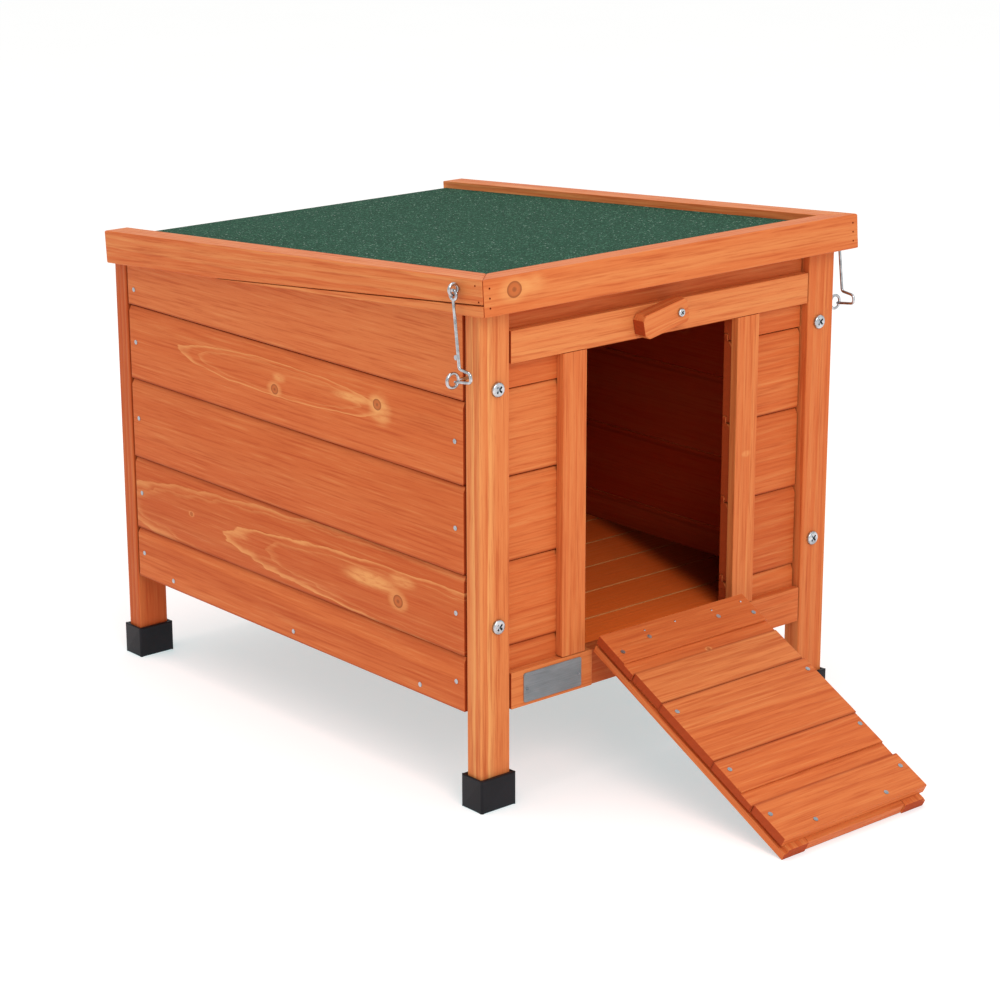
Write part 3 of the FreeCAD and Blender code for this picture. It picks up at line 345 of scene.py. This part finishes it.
# ---- other finishes ------------------------------------------------------------------------------
def mineral_felt():
    """Bitumen felt with pressed mineral grit: dark green with a few pale grains."""
    material, g = new_material("mineral_felt_green")
    place = g.node("ShaderNodeTexCoord").outputs["Object"]
    grit = g.node("ShaderNodeTexVoronoi", {"Vector": place, "Scale": 900.0, "Randomness": 1.0})
    grain = g.node("ShaderNodeSeparateColor", {0: grit.outputs["Color"]}).outputs
    mottle = g.noise(g.scaled(place, (260.0, 260.0, 260.0)), 1.0, 3.0, 0.7)
    wide = g.noise(g.scaled(place, (14.0, 14.0, 14.0)), 2.0, 3.0, 0.6)
    colour = g.stops(grain[0], [(0.0, srgb(6, 36, 24)), (0.45, srgb(22, 66, 47)), (0.85, srgb(42, 88, 66)),
                                (1.0, srgb(98, 138, 114))])
    colour = g.mix(g.smooth(mottle, 0.35, 0.7, 0.0, 0.4), colour, srgb(18, 60, 42))
    colour = g.mix(g.smooth(wide, 0.35, 0.7, 0.0, 0.2), colour, srgb(38, 80, 62))
    colour = g.mix(g.smooth(grain[1], 0.988, 0.994, 0.0, 0.65), colour, srgb(180, 196, 184))
    dome = g.math("MULTIPLY", grit.outputs["Distance"], -1.0)
    height = g.math("ADD", dome, g.math("MULTIPLY", grain[2], 0.6))
    finish_shader(g, colour, g.smooth(grain[0], 0.0, 1.0, 0.8, 0.95), height, 0.0005, Specular_IOR_Level=0.15)
    return material


def black_plastic():
    material, g = new_material("black_plastic_cap")
    place = g.node("ShaderNodeTexCoord").outputs["Object"]
    fine = g.noise(g.scaled(place, (1500.0, 1500.0, 1500.0)), 0.0, 2.0, 0.6)
    cloud = g.noise(g.scaled(place, (60.0, 60.0, 60.0)), 4.0, 3.0, 0.6)
    scuff = g.noise(g.scaled(place, (40.0, 400.0, 900.0)), 6.0, 4.0, 0.7)
    colour = g.mix(g.smooth(cloud, 0.3, 0.7), srgb(14, 14, 19), srgb(21, 21, 27))
    colour = g.mix(g.smooth(scuff, 0.66, 0.8, 0.0, 0.25), colour, srgb(80, 80, 84))
    rough = g.math("ADD", g.smooth(cloud, 0.3, 0.7, 0.34, 0.46), g.smooth(scuff, 0.62, 0.8, 0.0, 0.2))
    finish_shader(g, colour, rough, fine, 0.00008, Specular_IOR_Level=0.2)
    return material


def zinc(name, dark, pale, rough_low, rough_high, recess_shade_depth=0.0):
    """Bright plated steel, clouded by wear; recesses, up to the depth given, are darkened as painted shade.
    """
    material, g = new_material(name)
    place = g.node("ShaderNodeTexCoord").outputs["Object"]
    cloud = g.noise(g.scaled(place, (160.0, 160.0, 160.0)), 0.0, 4.0, 0.65)
    spangle = g.node("ShaderNodeTexVoronoi", {"Vector": place, "Scale": 700.0})
    tint = g.node("ShaderNodeSeparateColor", {0: spangle.outputs["Color"]}).outputs[0]
    colour = g.mix(g.smooth(cloud, 0.3, 0.7), dark, pale)
    colour = g.mix(g.math("MULTIPLY", tint, 0.25), colour, dark)
    # painted shade: faces with other faces of the part close by darken towards near black
    if recess_shade_depth:
        corner = g.node("ShaderNodeAmbientOcclusion", {"Distance": recess_shade_depth}, only_local=True, samples=8)
        colour = g.mix(g.smooth(corner.outputs["AO"], 0.55, 0.9, 0.85, 0.0), colour, srgb(40, 42, 46))
    rough = g.smooth(cloud, 0.25, 0.75, rough_low, rough_high)
    finish_shader(g, colour, rough, cloud, 0.00006, Metallic=1.0)
    return material


def plate_metal():
    """Brushed grey aluminium, left blank."""
    material, g = new_material("plate_brushed")
    place = g.node("ShaderNodeTexCoord").outputs["Object"]
    brush = g.noise(g.scaled(place, (60.0, 60.0, 4200.0)), 0.0, 3.0, 0.6)
    cloud = g.noise(g.scaled(place, (35.0, 35.0, 70.0)), 5.0, 2.0, 0.5)
    colour = g.mix(g.smooth(brush, 0.3, 0.7), srgb(108, 114, 118), srgb(130, 136, 140))
    colour = g.mix(g.smooth(cloud, 0.4, 0.7, 0.0, 0.35), colour, srgb(158, 163, 166))
    finish_shader(g, colour, g.smooth(brush, 0.3, 0.7, 0.34, 0.5), brush, 0.00005, Metallic=0.25)
    return material


def pale_floor():
    material, g = new_material("studio_floor")
    place = g.node("ShaderNodeTexCoord").outputs["Object"]
    cloud = g.noise(g.scaled(place, (3.0, 3.0, 3.0)), 0.0, 2.0, 0.5)
    colour = g.mix(cloud, (0.86, 0.58, 0.53, 1.0), (0.88, 0.6, 0.55, 1.0))
    finish_shader(g, colour, 0.9, Specular_IOR_Level=0.0, Emission_Color=(0.46, 0.93, 1.0, 1.0),
                  Emission_Strength=0.52)
    return material


# ---- softened edges --------------------------------------------------------------------------------
def welded_tree():
    """Joins the split corners of an imported mesh, drops its stored normals, keeps its sharp
    edges sharp and marks the long ones, not the rims of small holes, for rounding over."""
    tree = bpy.data.node_groups.new("welded", "GeometryNodeTree")
    tree.interface.new_socket("Geometry", in_out="INPUT", socket_type="NodeSocketGeometry")
    tree.interface.new_socket("Geometry", in_out="OUTPUT", socket_type="NodeSocketGeometry")
    g = Graph(tree)
    entry = g.node("NodeGroupInput")
    merge = g.node("GeometryNodeMergeByDistance", {0: entry.outputs[0], "Distance": WELD_DISTANCE})
    drop = g.node("GeometryNodeRemoveAttribute", {0: merge.outputs[0], "Name": "custom_normal"})
    smooth = g.node("GeometryNodeSetShadeSmooth", {0: drop.outputs[0]})
    angle = g.node("GeometryNodeInputMeshEdgeAngle").outputs["Unsigned Angle"]
    sharp = g.math("GREATER_THAN", angle, SHARP_ANGLE)
    crease = {0: smooth.outputs[0], "Selection": sharp, "Shade Smooth": False}
    creased = g.node("GeometryNodeSetShadeSmooth", crease, domain="EDGE")
    ends = g.node("GeometryNodeInputMeshEdgeVertices").outputs
    both_ends = {0: ends["Position 1"], 1: ends["Position 2"]}
    reach = g.node("ShaderNodeVectorMath", both_ends, operation="DISTANCE")
    long_edge = g.math("GREATER_THAN", reach.outputs["Value"], LONG_EDGE)
    weight = g.math("MULTIPLY", sharp, long_edge)
    sockets = {0: creased.outputs[0], "Name": "bevel_weight_edge", "Value": weight}
    marked = g.node("GeometryNodeStoreNamedAttribute", domain="EDGE", data_type="FLOAT")
    g.plug(marked, sockets)
    g.node("NodeGroupOutput", {0: marked.outputs[0]})
    return tree


WELD_DISTANCE = 0.002 * MM
SHARP_ANGLE = math.radians(35.0)
LONG_EDGE = 3.5 * MM
BEVEL_SEGMENTS = 3
WELDED = welded_tree()


def soften(obj, width):
    weld = obj.modifiers.new("weld", "NODES")
    weld.node_group = WELDED
    bevel = obj.modifiers.new("soft_edges", "BEVEL")
    bevel.width = width
    bevel.segments = BEVEL_SEGMENTS
    bevel.limit_method = "WEIGHT"
    bevel.harden_normals = True


def finish_node(name, material, edge=0.0):
    obj = nodes[name]
    obj.data.materials.clear()
    obj.data.materials.append(material)
    if edge:
        soften(obj, edge)


# ---- giving each node its finish ---------------------------------------------------------------------
BOARD_EDGE = 0.7 * MM
POST_EDGE = 1.3 * MM
RIM_EDGE = 1.3 * MM
WEDGE_EDGE = 1.0 * MM
FLOOR_EDGE = 0.9 * MM
RAMP_EDGE = 0.6 * MM
BUTTON_EDGE = 0.8 * MM
FELT_EDGE = 0.5 * MM
DECK_EDGE = 0.3 * MM
PLATE_EDGE = 0.25 * MM
CAP_EDGE = 0.9 * MM


def wall_place(y_mm, z_mm):
    """Place on a side wall, from the front posts' faces back and from the ground up."""
    return (HOUSE_FRONT + y_mm * MM, z_mm * MM)


def finish_side_walls():
    left = {
        1: dict(tone=0.1, streak=-0.55, pith=(0.06, 0.03, 0.03), spacing=0.005),
        2: dict(tone=-0.55, streak=0.08, pith=(0.24, 0.03, 0.0), spacing=0.008,
                figures=[(wall_place(30, 150), (0.31, 0.026),
                          [(1.0, 0.1, 0.7), (0.82, 0.06, 0.25), (1.62, 0.14, 0.5), (1.48, 0.08, 0.25)], 3.1)],
                flames=[(wall_place(138, 159), (0.045, 0.009), 0.85, 4.0),
                        (wall_place(98, 168), (0.022, 0.006), 0.6, 8.0)],
                knots=[(wall_place(102.3, 149.6), 0.0058, 1.2), (wall_place(392.8, 156.5), 0.0022, 5.0)]),
        3: dict(tone=-0.25, streak=0.08, pith=(0.3, 0.04, -0.02), spacing=0.01),
        4: dict(tone=-0.05, streak=0.1, pith=(0.2, 0.05, 0.02), spacing=0.009,
                figures=[(wall_place(262, 303), (0.14, 0.0145), [(1.0, 0.1, 0.65), (0.8, 0.08, 0.3)], 7.7)],
                flames=[(wall_place(158, 307), (0.03, 0.0045), 0.85, 9.0),
                        (wall_place(122, 304), (0.016, 0.016), 0.7, 3.0),
                        (wall_place(257, 305), (0.012, 0.005), 0.6, 5.0)],
                knots=[(wall_place(263.3, 294.0), 0.0048, 2.2), (wall_place(125.7, 307.7), 0.0052, 6.1)]),
        5: dict(tone=0.3, streak=0.14, pith=(0.34, 0.06, 0.03), spacing=0.011),
    }
    for number, look in left.items():
        material = pine("pine_left_%d" % number, Y, Z, seed=number * 1.7, seams=SIDE_SEAMS, **look)
        finish_node("left_board_%d" % number, material, BOARD_EDGE)
    tones = [0.1, -0.1, 0.25, -0.2, 0.35]
    knot_places = [wall_place(310, 118), wall_place(96, 172), wall_place(401, 251), wall_place(170, 306),
                   wall_place(352, 371)]
    for number, (tone, knot_place) in enumerate(zip(tones, knot_places), start=1):
        pith = (0.08 * number, 0.04, 0.02 * (-1) ** number)
        knots = [(knot_place, (4.0 + number % 3) * MM, number * 1.3)]
        # the inner faces of the right boards get painted shade
        material = pine("pine_right_%d" % number, Y, Z, tone, 0.22, pith, 0.007, 31.0 + number, knots=knots,
                        seams=SIDE_SEAMS, indoor_painted_light=((-1, 0, 0), INSIDE_PAINTED_SHADE))
        finish_node("right_board_%d" % number, material, BOARD_EDGE)
    inside = pine("pine_cleats", Z, X, -0.2, 0.3, seed=5.0)
    for name in ("upright_cleats_left", "upright_cleats_right"):
        finish_node(name, inside, BOARD_EDGE)
    finish_node("floor_bearers", pine("pine_bearers", Y, Z, -0.2, 0.3, seed=6.0), BOARD_EDGE)


def course_pieces(name, joints, tones):
    """Tones of the boards of one node, from the heights of the joints between them."""
    low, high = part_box(name)
    span = high.z - low.z
    stops = [((joint - low.z) / span, tone) for joint, tone in zip(joints, tones)]
    return (low.z, high.z, stops)


def finish_front_wall():
    left = course_pieces("front_boards_left", FRONT_SEAMS, [-0.25, 0.05, 0.2, 0.35])
    right = course_pieces("front_boards_right", FRONT_SEAMS, [-0.05, -0.5, -0.2, -0.05])
    finish_node("front_boards_left", pine("pine_front_left", X, Z, streak=0.15, pieces=left, spacing=0.008,
                                          pith=(0.4, 0.04, 0.05), seed=1.0, seams=FRONT_SEAMS), BOARD_EDGE)
    finish_node("front_boards_right", pine("pine_front_right", X, Z, streak=0.15, pieces=right, spacing=0.008,
                                           pith=(0.5, 0.04, 0.05), seed=2.0, seams=FRONT_SEAMS), BOARD_EDGE)
    top = pine("pine_front_top", X, Z, -0.2, 0.2, (0.3, 0.05, 0.01), 0.009, 3.0)
    finish_node("front_top_board", top, BOARD_EDGE)
    header = pine("pine_header", X, Z, 0.75, 0.22, (0.5, 0.03, 0.0), 0.008, 4.0)
    finish_node("header_rail", header, BOARD_EDGE)
    jamb = pine("pine_jamb_left", Z, X, 0.3, 0.2, (0.1, 0.02, 0.02), 0.006, 5.0)
    finish_node("door_jamb_left", jamb, BOARD_EDGE)
    flames = [((0.241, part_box("door_jamb_right")[0].x + 0.0125), (0.003, 0.006), 0.5, 2.0)]
    finish_node("door_jamb_right", pine("pine_jamb_right", Z, X, 0.3, 0.2, (0.2, 0.02, 0.01), 0.006, 6.0,
                                        flames=flames), BOARD_EDGE)
    finish_node("bottom_rail_left", pine("pine_rail_left", X, Z, 0.5, 0.2, seed=7.0), BOARD_EDGE)
    finish_node("bottom_rail_right", pine("pine_rail_right", X, Z, 0.0, 0.15, seed=8.0), BOARD_EDGE)
    # painted shade: the sill rail is toned much darker, as it stands in shade under the ramp
    finish_node("sill_rail", pine("pine_sill", X, Z, -0.9, 0.15, seed=9.0), BOARD_EDGE)


def finish_posts():
    looks = {
        "post_front_left": dict(tone=0.6, streak=1.0, pith=(-0.174, -0.115, 0.006), spacing=0.0052, seed=1.5),
        "post_front_right": dict(tone=0.15, streak=0.25, pith=(0.3, 0.02, 0.02), spacing=0.007, seed=2.5),
        # painted shade: this post is toned much darker because its side faces stand in shade
        "post_back_left": dict(tone=-0.9, streak=0.2, pith=(-0.18, 0.3, 0.01), spacing=0.005, seed=3.5),
        "post_back_right": dict(tone=0.2, streak=0.3, pith=(0.2, 0.3, 0.01), spacing=0.006, seed=4.5),
    }
    for name, look in looks.items():
        finish_node(name, pine("pine_" + name, Z, X, **look), POST_EDGE)


def finish_back_and_floor():
    back = course_pieces("back_boards", SIDE_SEAMS, [0.0, 0.2, -0.15, 0.1, 0.3])
    knots = [((0.06, 0.235), 0.0055, 2.0), ((-0.09, 0.158), 0.0045, 3.0), ((0.11, 0.3), 0.004, 4.0)]
    # the inner faces of the back boards get painted shade
    finish_node("back_boards", pine("pine_back", X, Z, streak=0.25, pieces=back, spacing=0.007, knots=knots,
                                    pith=(0.4, 0.3, 0.03), seed=12.0, seams=SIDE_SEAMS,
                                    indoor_painted_light=((0, -1, 0), INSIDE_PAINTED_SHADE)), BOARD_EDGE)
    for number, name in enumerate(("back_top_rail", "back_bottom_rail")):
        finish_node(name, pine("pine_" + name, X, Z, 0.35, 0.2, seed=13.0 + number), BOARD_EDGE)
    low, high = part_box("floor_boards")
    tones = [0.5, 0.1, 0.35, 0.5, 0.0, 0.3, 0.1, 0.5, 0.2]
    stops = [(number / len(tones), tone) for number, tone in enumerate(tones)]
    floor = pine("pine_floor", X, Y, streak=0.2, pieces=(low.y, high.y, stops), spacing=0.006,
                 # the floor's top takes a redder stain, brightened as painted light
                 pith=(0.6, 0.0, 0.03), seed=15.0, indoor_painted_light=((0, 0, 1), FLOOR_TOP_STAIN_AND_LIGHT),
                 # painted highlight: pale bands along the joints of the floor boards
                 seams=[low.y + (high.y - low.y) * number / len(tones) for number in range(1, len(tones))],
                 # painted shade: the floor darkens towards the right wall
                 seam_painted_light=STAIN_YELLOW, shade=((1.0, -0.33, 0.0), 0.122, 0.149))
    finish_node("floor_boards", floor, FLOOR_EDGE)


def finish_lid(felt):
    side = dict(tone=0.1, streak=0.45, spacing=0.0042)
    finish_node("lid_rim_left", pine("pine_rim_left", LID_ALONG, LID_UP, pith=(0.5, -0.05, 0.015), seed=1.0,
                                     **side), RIM_EDGE)
    finish_node("lid_rim_right", pine("pine_rim_right", LID_ALONG, LID_UP, pith=(0.55, 0.05, 0.012), seed=2.0,
                                      **side), RIM_EDGE)
    knot_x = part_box("lid_rim_front")[0].x + 0.0306
    knot_up = LID_UP.dot(Vector((0, HOUSE_FRONT - 0.0155, 0.4205)))
    knot = ((knot_x, knot_up), 0.0072, 3.3)
    flame = ((knot_x + 0.018, knot_up + 0.002), (0.016, 0.009), 0.5, 6.0)
    front = pine("pine_rim_front", X, LID_UP, 0.3, 0.3, (0.52, -0.2, 0.0), 0.007, 3.0,
                 knots=[knot], flames=[flame])
    finish_node("lid_rim_front", front, RIM_EDGE)
    finish_node("lid_wedges", pine("pine_wedges", LID_ALONG, LID_UP, 0.55, 0.4, seed=4.0), WEDGE_EDGE)
    # the deck's underside gets painted shade
    deck = pine("pine_deck", X, LID_ALONG, 0.1, 0.3, seed=5.0, indoor_painted_light=((0, 0, -1), INSIDE_PAINTED_SHADE))
    finish_node("roof_deck", deck, DECK_EDGE)
    finish_node("lid_rear_batten", pine("pine_rear_batten", X, Z, 0.2, 0.3, seed=6.0), BOARD_EDGE)
    finish_node("roof_felt", felt, FELT_EDGE)


def finish_ramp():
    corner = Vector((0, HOUSE_FRONT - 0.0015, 0.1093))
    start = RAMP_ALONG.dot(corner) + 0.0042
    length = 0.234
    edges = [(-0.002, 0.0), (0.0452, 0.65), (0.0806, 0.45), (0.114, 0.25), (0.147, 0.1), (0.1954, 0.3)]
    stops = [((edge + 0.002) / length, tone) for edge, tone in edges]
    # joints between the ramp's boards, where painted shade is laid
    seams = [start + edge for edge, tone in edges[1:] if edge != 0.114]
    knots = [((0.003, start + 0.0425), 0.0018, 4.0)]
    top = start - 0.002
    boards = pine("pine_ramp_boards", X, RAMP_ALONG, streak=-0.4, pieces=(top, top + length, stops),
                  spacing=0.007, pith=(0.5, 0.04, 0.03), seed=21.0, knots=knots, seams=seams)
    finish_node("ramp_boards", boards, RAMP_EDGE)
    rails = pine("pine_ramp_rails", RAMP_ALONG, X, 0.0, 0.25, seed=22.0)
    finish_node("ramp_side_rails", rails, BOARD_EDGE)
    battens = pine("pine_ramp_battens", X, RAMP_ALONG, -0.1, 0.2, seed=23.0)
    finish_node("ramp_cross_battens", battens, BOARD_EDGE)


def finish_turn_button():
    drop = math.radians(11.5)
    grain = Vector((math.cos(drop), 0, math.sin(drop)))
    across = Vector((-math.sin(drop), 0, math.cos(drop)))
    button = pine("pine_button", grain, across, 0.35, 0.3, seed=30.0, spacing=0.004)
    finish_node("turn_button", button, BUTTON_EDGE)


def finish_hardware():
    wire = zinc("zinc_wire_bright", srgb(150, 154, 158), srgb(214, 217, 220), 0.12, 0.26)
    for name in ("hook_left", "hook_right", "upper_eyes", "lower_eyes"):
        finish_node(name, wire)
    plated = zinc("zinc_plated", srgb(150, 157, 163), srgb(190, 197, 203), 0.22, 0.34)
    # the bolt and screw heads get painted shade in their recesses, within 1.6 mm
    heads = zinc("zinc_heads", srgb(150, 158, 164), srgb(222, 228, 232), 0.2, 0.36, 1.6 * MM)
    for name in ("panel_bolts", "turn_button_screw"):
        finish_node(name, heads)
    for name in ("wall_fasteners", "lid_fasteners", "ramp_fasteners",
                 "hinge_pins", "lid_hinge_fixed_leaves", "lid_hinge_moving_leaves",
                 "ramp_hinge_fixed_leaves", "ramp_hinge_moving_leaves"):
        finish_node(name, plated)
    finish_node("name_plate", plate_metal(), PLATE_EDGE)
    cap = black_plastic()
    for place in ("front_left", "front_right", "back_left", "back_right"):
        finish_node("foot_cap_" + place, cap, CAP_EDGE)


# ---- studio --------------------------------------------------------------------------------------------
CAMERA_PLACE = (-1.46609, -1.64571, 0.84140)
CAMERA_YAW = 0.70926
CAMERA_PITCH = -0.28838
CAMERA_ROLL = -0.002
CAMERA_LENS_MM = 97.06
CAMERA_SENSOR_MM = 36.0
FLOOR_HALF = 30.0
SKY_LIGHT = 0.85
SKY_SEEN = 1.0
OVERHEAD_WATTS = 17.0
FILL_WATTS = 30.0


def make_camera():
    """The camera's yaw turns clockwise from the back of the hutch; a negative pitch looks down."""
    data = bpy.data.cameras.new("camera")
    data.lens = CAMERA_LENS_MM
    data.sensor_width = CAMERA_SENSOR_MM
    data.clip_start = 0.05
    data.clip_end = 100.0
    camera = bpy.data.objects.new("camera", data)
    scene.collection.objects.link(camera)
    camera.location = CAMERA_PLACE
    level = math.cos(CAMERA_PITCH)
    forward = Vector((math.sin(CAMERA_YAW) * level, math.cos(CAMERA_YAW) * level, math.sin(CAMERA_PITCH)))
    camera.rotation_mode = "QUATERNION"
    camera.rotation_quaternion = forward.to_track_quat("-Z", "Y") @ Quaternion((0, 0, 1), CAMERA_ROLL)
    scene.camera = camera


def area_light(name, place, aim, size, power):
    data = bpy.data.lights.new(name, "AREA")
    data.shape = "DISK"
    data.size = size
    data.energy = power
    light = bpy.data.objects.new(name, data)
    light.location = place
    light.rotation_euler = (Vector(aim) - Vector(place)).to_track_quat("-Z", "Y").to_euler()
    scene.collection.objects.link(light)


def make_studio():
    """A wide pale floor, a white sky and two soft lights.  The sky is drawn a little brighter where
    it is seen directly than it shines, so that a low view shows no line at the floor's far edge."""
    mesh = bpy.data.meshes.new("studio_floor")
    corners = [(FLOOR_HALF * x, FLOOR_HALF * y, 0.0) for x, y in ((-1, -1), (1, -1), (1, 1), (-1, 1))]
    mesh.from_pydata(corners, [], [(0, 1, 2, 3)])
    floor = bpy.data.objects.new("studio_floor", mesh)
    floor.data.materials.append(pale_floor())
    scene.collection.objects.link(floor)
    world = bpy.data.worlds.new("soft_white")
    world.use_nodes = True
    g = Graph(world.node_tree)
    sky = world.node_tree.nodes["Background"].inputs
    sky["Color"].default_value = (1.0, 1.0, 1.0, 1.0)
    seen = g.node("ShaderNodeLightPath").outputs["Is Camera Ray"]
    brightness = g.node("ShaderNodeMapRange", {"Value": seen, "To Min": SKY_LIGHT, "To Max": SKY_SEEN})
    g.tree.links.new(brightness.outputs["Result"], sky["Strength"])
    scene.world = world
    area_light("overhead", (-0.25, 0.1, 2.6), (0.0, 0.1, 0.2), 1.4, OVERHEAD_WATTS)
    area_light("front_fill", (-0.95, -2.3, 1.95), (0.0, 0.0, 0.2), 1.6, FILL_WATTS)
    scene.view_settings.view_transform = "Standard"
    scene.view_settings.look = "None"


make_camera()
make_studio()
finish_posts()
finish_side_walls()
finish_front_wall()
finish_back_and_floor()
finish_lid(mineral_felt())
finish_ramp()
finish_turn_button()
finish_hardware()
